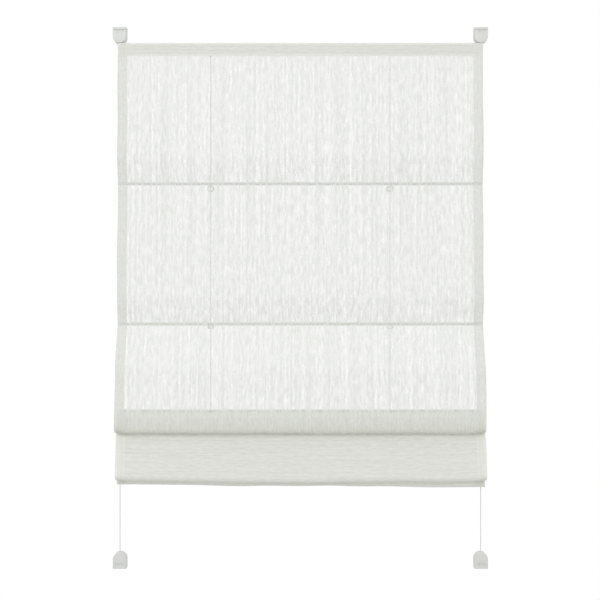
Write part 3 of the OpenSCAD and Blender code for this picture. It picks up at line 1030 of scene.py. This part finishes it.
@dataclass(frozen=True)
class ShoeMaker:
    """Makes the moulded shoe with rounded edges, on the form of its solid."""

    width: float = 22.0
    depth: float = 15.0
    top: float = 13.5
    tip: float = -13.0
    tip_faces: int = 20
    wall: float = 1.6
    edge_r: float = 1.6
    edge_faces: int = 4
    scoop_h: float = 10.0
    scoop_in: float = 1.6
    scoop_out: tuple[float, float] = (2.4, 0.1)
    scoop_angle: float = 9.0
    ribs: int = 5
    rib_w: float = 0.8
    rib_h: float = 4.7
    rib_pitch: float = 2.75
    rib_cut: float = 0.9
    band_h: float = 4.5
    band_t: float = 0.8
    band_in: float = 0.9
    band_down: float = 0.3
    band_root: float = 3.0
    band_r: float = 0.6
    band_faces: int = 3
    over: float = 1.0
    near: float = 0.1
    hair: float = 0.02
    smooth_angle: float = 35.0

    @staticmethod
    def _apply(piece: Piece) -> None:
        """Applies a piece's modifiers.

        Args:
            piece: the piece.
        """
        bpy.context.view_layer.objects.active = piece
        for modifier in list(piece.modifiers):
            bpy.ops.object.modifier_apply(modifier=modifier.name)

    def _combine(self, piece: Piece, other: Piece, operation: str) -> None:
        """Adds another piece to a piece, or takes it away.

        Args:
            piece: the piece that stays.
            other: the other one, which is deleted.
            operation: Blender's name of the change.
        """
        cut = piece.modifiers.new("combine", "BOOLEAN")
        cut.operation = operation
        cut.solver = "EXACT"
        cut.object = other
        self._apply(piece)
        bpy.data.objects.remove(other)

    @staticmethod
    def _block(low: Triple, high: Triple, tilt: float = 0.0) -> Piece:
        """Makes a block between two corners.

        Args:
            low: its lowest corner, in millimetres.
            high: its highest corner, in millimetres.
            tilt: its tilt about X, in degrees.

        Returns:
            The block.
        """
        middle = [(a + b) / 2 * MM for a, b in zip(low, high)]
        bpy.ops.mesh.primitive_cube_add(
            size=1.0, location=middle, rotation=(math.radians(tilt), 0.0, 0.0)
        )
        block = bpy.context.object
        block.scale = [(b - a) * MM for a, b in zip(low, high)]
        bpy.ops.object.transform_apply(location=True, rotation=True, scale=True)
        return block

    def _round(
        self, piece: Piece, radius: float, faces: int, chosen: Callable[[Vector, Vector], bool]
    ) -> None:
        """Rounds the edges that a test picks.

        Args:
            piece: the piece.
            radius: radius of the rounding, in millimetres.
            faces: faces across the rounding.
            chosen: takes an edge's two ends, in millimetres, and says whether to round it.
        """
        mesh = piece.data
        weights = mesh.attributes.get("bevel_weight_edge")
        if weights is None:
            weights = mesh.attributes.new("bevel_weight_edge", "FLOAT", "EDGE")
        for edge, weight in zip(mesh.edges, weights.data):
            ends = [mesh.vertices[i].co / MM for i in edge.vertices]
            weight.value = 1.0 if chosen(*ends) else 0.0
        bevel = piece.modifiers.new("round", "BEVEL")
        bevel.width = radius * MM
        bevel.segments = faces
        bevel.limit_method = "WEIGHT"
        self._apply(piece)

    def _tombstone(self, inset: float, back: float, front: float) -> Piece:
        """Makes the shoe's outline as a solid.

        Args:
            inset: how far it is drawn in.
            back: Y of its back.
            front: Y of its front.

        Returns:
            The solid.
        """
        half = self.width / 2 - inset
        solid = self._block((-half, front, self.tip + inset), (half, back, self.top - inset))
        self._round(
            solid,
            half - self.hair,
            self.tip_faces,
            lambda a, b: max(a.z, b.z) < 0 and abs(a.x - b.x) < self.near,
        )
        return solid

    def make(self) -> Piece:
        """Makes one upright shoe about its screw holes.

        Returns:
            The shoe.
        """
        half, front = self.width / 2, -self.depth
        band_z = self.top - self.band_h
        shoe = self._tombstone(0.0, 0.0, front)
        self._round(shoe, self.edge_r, self.edge_faces, lambda a, b: max(a.y, b.y) < front + self.near)
        side, (out, gap) = half - self.scoop_in, self.scoop_out
        scoop = self._block(
            (-side, front - out, band_z - self.scoop_h), (side, front - gap, band_z), -self.scoop_angle
        )
        self._combine(shoe, scoop, "DIFFERENCE")
        for k in range(self.ribs):
            x = (k - (self.ribs - 1) / 2) * self.rib_pitch
            rib = self._block(
                (x - self.rib_w / 2, front - self.over, band_z - self.rib_w - self.rib_h),
                (x + self.rib_w / 2, front + self.rib_cut, band_z - self.rib_w),
                -self.scoop_angle / 2,
            )
            self._combine(shoe, rib, "DIFFERENCE")
        side = half - self.band_in
        band = self._block(
            (-side, front - self.band_t, band_z),
            (side, front + self.band_root, self.top - self.band_down),
        )
        self._round(band, self.band_r, self.band_faces, lambda a, b: max(a.y, b.y) < front)
        self._combine(shoe, band, "UNION")
        self._combine(shoe, self._tombstone(self.wall, self.over, front + self.wall), "DIFFERENCE")
        bpy.ops.object.select_all(action="DESELECT")
        shoe.select_set(True)
        bpy.context.view_layer.objects.active = shoe
        bpy.ops.object.shade_smooth_by_angle(angle=math.radians(self.smooth_angle))
        return shoe


class Dresser:
    """Puts the soft pieces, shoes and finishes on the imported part."""

    SEAM_IN = 1.5

    def __init__(self, sizes: BlindSizes) -> None:
        """Loads the part.

        Args:
            sizes: sizes of the blind.
        """
        self.sizes = sizes
        self.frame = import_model()
        self.cad_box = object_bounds()
        self.line = ClothLine(BENDS)
        self.cloth = ClothMaker(sizes, self.line)
        maker = MaterialMaker(sizes.cord_r, self.seams())
        self.materials = {finish.name: maker.plain(finish) for finish in FINISHES}
        self.materials |= {finish.name: maker.weave(finish) for finish in (SHEER, FALL, CLOSE_LIT)}

    def seams(self) -> Seams:
        """Finds the sewn lines of the side hems, the top hem and the rods.

        Returns:
            The seams, in metres.
        """
        sizes, arc, middle = self.sizes, self.line.arc, self.line.middle
        columns = (self.SEAM_IN, 2 * sizes.side_hem - self.SEAM_IN)
        rods = (arc[middle[i]] for i in (ROD_1, ROD_2, ROD_3, ROD_4))
        rows = (self.SEAM_IN, sizes.top_hem - self.SEAM_IN, *rods)
        return Seams(
            self.cloth.cut_w,
            tuple(c * MM for c in columns),
            tuple(float(r) * MM for r in rows),
            float(arc[self.line.lowest(FOLD_A)]) * MM,
        )

    def paint(self, piece: Piece, slot: str, finish: str = "") -> None:
        """Gives a piece its material.

        Args:
            piece: the piece.
            slot: the record's slot.
            finish: the material's name, where it isn't the slot's.
        """
        piece.data.materials.clear()
        piece.data.materials.append(self.materials[finish or slot])

    def paint_nodes(self) -> list[Piece]:
        """Gives every solid its finish.

        Returns:
            The solids.
        """
        nodes = []
        for part in self.frame["record"]["subparts"]:
            nodes.append(self.frame["nodes"][part["node"]])
            self.paint(nodes[-1], part["material_slot"])
        return nodes

    def hang_cloth(self) -> list[Piece]:
        """Makes the cloth in the lengths that its rods move.

        Returns:
            Its pieces.
        """
        sizes, line, maker = self.sizes, self.line, self.cloth
        hem, rod_1, rod_2 = (line.middle[i] for i in (HEM_TURN, ROD_1, ROD_2))
        fold_a, last = line.lowest(FOLD_A), len(line.points) - 1
        top = maker.sheet("cloth_top_hem", maker.hem_rows(maker.rows(0, hem), sizes.top_hem, True))
        upper = maker.sheet("cloth_upper_section", maker.rows(hem, rod_1))
        lower = maker.sheet("cloth_lower_section", maker.rows(rod_1, rod_2))
        fall = maker.sheet("cloth_front_fall", maker.rows(rod_2, fold_a))
        folds = maker.sheet(
            "cloth_folds", maker.hem_rows(maker.rows(fold_a, last), sizes.bottom_hem, False)
        )
        tunnels = [maker.tunnel(f"cloth_tunnel_{i + 1}", i) for i in range(len(sizes.rod_z))]
        finishes = {SHEER: (upper, lower), FALL: (fall,), CLOSE_LIT: (top, folds, *tunnels)}
        for finish, pieces in finishes.items():
            for piece in pieces:
                self.paint(piece, "cloth", finish.name)
                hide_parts("cloth")
        bodies = (Body.UPPER_ROD, Body.LOWER_ROD, Body.GATHERED, Body.GATHERED)
        for tunnel, body in zip(tunnels, bodies):
            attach(tunnel, body.value)
        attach(top, Body.HEAD.value)
        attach(upper, Body.HEAD.value)
        hem_z = float(line.points[hem, 1])
        self._gather(upper, "upper_rod_lift", hem_z, sizes.rod_z[0], sizes.upper_lift)
        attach(lower, Body.UPPER_ROD.value)
        self._gather(lower, "lower_rod_lift", sizes.rod_z[0], sizes.rod_z[1], sizes.lower_lift)
        fold_z = float(line.points[fold_a, 1])
        self._stretch(fall, Body.LOWER_ROD, Body.GATHERED, sizes.rod_z[1], fold_z)
        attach(folds, Body.GATHERED.value)
        return [top, upper, lower, fall, folds, *tunnels]

    @staticmethod
    def _gather(piece: Piece, joint: str, top: float, bottom: float, lift: float) -> None:
        """Gives a piece its own copy of its mesh; its heights are in millimetres."""
        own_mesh(piece)

    @staticmethod
    def _stretch(piece: Piece, a: Body, b: Body, start: float, end: float) -> None:
        """Bakes a piece's placing into its mesh; its heights are in millimetres."""
        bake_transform(piece)

    def run_cords(self) -> list[Piece]:
        """Makes both tension cords in the lengths that the rods move, and returns them."""
        maker = CordMaker(self.sizes)
        return [*self._run_cord(maker, 1, "right"), *self._run_cord(maker, -1, "left")]

    def _run_cord(self, maker: CordMaker, side: int, word: str) -> list[Piece]:
        """Makes one tension cord.

        Args:
            maker: makes its lengths.
            side: 1 for the right, -1 for the left.
            word: name of the side.

        Returns:
            Its lengths, from the top shoe to the bottom one.
        """
        sizes, name = self.sizes, f"cord_{word}"
        hem, rod_1, rod_2 = sizes.hem_z, *sizes.rod_z[:2]
        rail_in = sizes.bottom_rail_z + maker.rail_reach
        rail_out = sizes.bottom_rail_z - maker.rail_reach
        shoe_z = -sizes.cord_drop - sizes.cord_top
        mid_1, mid_2 = (shoe_z + up for up in maker.outer_splits)
        inner, outer = sizes.ring_x, sizes.cord_x
        top = maker.run(f"{name}_top", maker.top_run(), side)
        upper = maker.run(f"{name}_upper", [(inner, hem), (inner, rod_1)], side)
        lower = maker.run(f"{name}_lower", [(inner, rod_1), (inner, rod_2)], side)
        fall = maker.run(f"{name}_fall", [(inner, rod_2), (inner, rail_in)], side)
        rail = maker.run(f"{name}_rail", maker.low_run(rail_in, rail_out), side)
        out_3 = maker.run(f"{name}_out_3", [(outer, rail_out), (outer, mid_2)], side)
        out_2 = maker.run(f"{name}_out_2", [(outer, mid_2), (outer, mid_1)], side)
        out_1 = maker.run(f"{name}_out_1", [(outer, mid_1), (outer, shoe_z)], side)
        pieces = [top, upper, lower, fall, rail, out_3, out_2, out_1]
        for piece in pieces:
            self.paint(piece, "cord")
            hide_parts(f"tension_cord_{word}")
        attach(top, Body.HEAD.value)
        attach(upper, Body.HEAD.value)
        self._gather(upper, "upper_rod_lift", hem, rod_1, sizes.upper_lift)
        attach(lower, Body.UPPER_ROD.value)
        self._gather(lower, "lower_rod_lift", rod_1, rod_2, sizes.lower_lift)
        self._stretch(fall, Body.LOWER_ROD, Body.GATHERED, rod_2, rail_in)
        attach(rail, Body.GATHERED.value)
        self._stretch(out_3, Body.LOWER_ROD, Body.GATHERED, mid_2, rail_out)
        self._stretch(out_2, Body.UPPER_ROD, Body.LOWER_ROD, mid_1, mid_2)
        self._stretch(out_1, Body.HEAD, Body.UPPER_ROD, shoe_z, mid_1)
        return pieces

    def fit_shoes(self) -> list[Piece]:
        """Puts a rounded shoe in the place of each solid one.

        Returns:
            The shoes.
        """
        sizes = self.sizes
        pattern = ShoeMaker().make()
        shoes = []
        for end, drop in (("top", 0.0), ("bottom", -sizes.cord_drop)):
            for side, word in ((1, "right"), (-1, "left")):
                mesh = pattern.data.copy()
                points = np.array([v.co for v in mesh.vertices])
                if end == "bottom":
                    points[:, 2] *= -1.0
                    mesh.flip_normals()
                points += np.array([side * sizes.cord_x, 0.0, drop]) * MM
                mesh.vertices.foreach_set("co", points.astype(np.float32).reshape(-1))
                mesh.update()
                shoe = bpy.data.objects.new(f"shoe_{end}_{word}_moulded", mesh)
                bpy.context.scene.collection.objects.link(shoe)
                self.paint(shoe, "shoe")
                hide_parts(f"shoe_{end}_{word}")
                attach(shoe, Body.HEAD.value)
                shoes.append(shoe)
        bpy.data.objects.remove(pattern)
        return shoes


def looked_at(tree: bpy.types.NodeTree) -> Socket:
    """Adds a test for rays from the camera, a gloss or a clear surface.

    Args:
        tree: nodes of a world or a material.

    Returns:
        1 for such a ray, and 0 for any other.
    """
    rays = tree.nodes.new("ShaderNodeLightPath")
    seen = rays.outputs["Is Camera Ray"]
    for name in ("Is Glossy Ray", "Is Transmission Ray"):
        either = tree.nodes.new("ShaderNodeMath")
        either.operation = "MAXIMUM"
        tree.links.new(seen, either.inputs[0])
        tree.links.new(rays.outputs[name], either.inputs[1])
        seen = either.outputs["Value"]
    return seen


@dataclass(frozen=True)
class Studio:
    """The camera, light, pale floor and white ground, in metres and degrees."""

    distance: float = 1.7
    plane_y: float = -0.008
    half_view: float = 0.29164
    sensor: float = 36.0
    eye_x: float = -0.0006
    eye_z: float = -0.4363
    ambient: float = 0.64
    slope: Triple = (0.0, -0.06, 0.18)
    key_power: float = 36.0
    key_size: tuple[float, float] = (2.6, 1.6)
    key_place: Triple = (-0.6, -3.4, 1.2)
    key_turn: Triple = (64.0, 0.0, -10.0)
    floor_z: float = -1.15
    floor_y: tuple[float, float] = (-1.1, 0.7)
    floor_w: float = 2.4
    floor_color: Triple = (0.62, 0.62, 0.62)
    floor_white: float = 0.9

    def camera(self) -> None:
        """Sets the camera straight in front of the blind."""
        data = bpy.data.cameras.new("camera")
        data.sensor_width = self.sensor
        data.lens = self.sensor / 2 / self.half_view
        camera = bpy.data.objects.new("camera", data)
        camera.location = (self.eye_x, self.plane_y - self.distance, self.eye_z)
        camera.rotation_euler = (math.pi / 2, 0.0, 0.0)
        bpy.context.scene.collection.objects.link(camera)
        bpy.context.scene.camera = camera

    def light(self) -> None:
        """Sets one broad light above the camera."""
        data = bpy.data.lights.new("key", "AREA")
        data.shape = "RECTANGLE"
        data.size, data.size_y = self.key_size
        data.energy = self.key_power
        light = bpy.data.objects.new("key", data)
        light.location = self.key_place
        light.rotation_euler = [math.radians(angle) for angle in self.key_turn]
        bpy.context.scene.collection.objects.link(light)

    def ground(self) -> None:
        """Makes the world white where it is looked at, and softer as a light."""
        world = bpy.data.worlds.new("white")
        world.use_nodes = True
        bpy.context.scene.world = world
        nodes, links = world.node_tree.nodes, world.node_tree.links
        back = nodes["Background"]
        back.inputs["Color"].default_value = (1.0, 1.0, 1.0, 1.0)
        ways = nodes.new("ShaderNodeTexCoord")
        slope = nodes.new("ShaderNodeVectorMath")
        slope.operation = "DOT_PRODUCT"
        slope.inputs[1].default_value = self.slope
        links.new(ways.outputs["Generated"], slope.inputs[0])
        soft = nodes.new("ShaderNodeMath")
        soft.inputs[1].default_value = self.ambient
        links.new(slope.outputs["Value"], soft.inputs[0])
        strength = nodes.new("ShaderNodeMix")
        links.new(looked_at(world.node_tree), strength.inputs["Factor"])
        links.new(soft.outputs["Value"], strength.inputs["A"])
        strength.inputs["B"].default_value = 1.0
        links.new(strength.outputs["Result"], back.inputs["Strength"])

    def floor(self) -> None:
        """Lays a pale floor below the camera's view, close to white where it is looked at."""
        near, far = self.floor_y
        bpy.ops.object.select_all(action="DESELECT")
        bpy.ops.mesh.primitive_plane_add(size=1.0, location=(0.0, (near + far) / 2, self.floor_z))
        floor = bpy.context.object
        floor.name = "floor"
        floor.scale = (self.floor_w, far - near, 1.0)
        bpy.ops.object.transform_apply(location=True, rotation=True, scale=True)
        tree = Tree("floor")
        tree.put((*self.floor_color, 1.0), tree.shader.inputs["Base Color"])
        white = tree.nodes.new("ShaderNodeEmission")
        share = tree.math("MULTIPLY", looked_at(tree.material.node_tree), self.floor_white)
        tree.surface(tree.blend(share, tree.shader.outputs["BSDF"], white.outputs["Emission"]))
        floor.data.materials.append(tree.material)
        floor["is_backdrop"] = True

    def set_up(self) -> None:
        """Sets up everything around the blind."""
        self.camera()
        self.light()
        self.ground()
        self.floor()
        bpy.context.scene.view_settings.view_transform = "Standard"


def main() -> None:
    """Builds the dressed blind and reports its pieces."""
    logging.basicConfig(level=logging.INFO)
    for item in list(bpy.data.objects):
        bpy.data.objects.remove(item)
    dresser = Dresser(BlindSizes())
    for step in (dresser.paint_nodes, dresser.hang_cloth, dresser.run_cords, dresser.fit_shoes):
        for piece in step():
            log.info("%s in %s", piece.name, piece.data.materials[0].name)
    Studio().set_up()


if __name__ == "__main__":
    main()
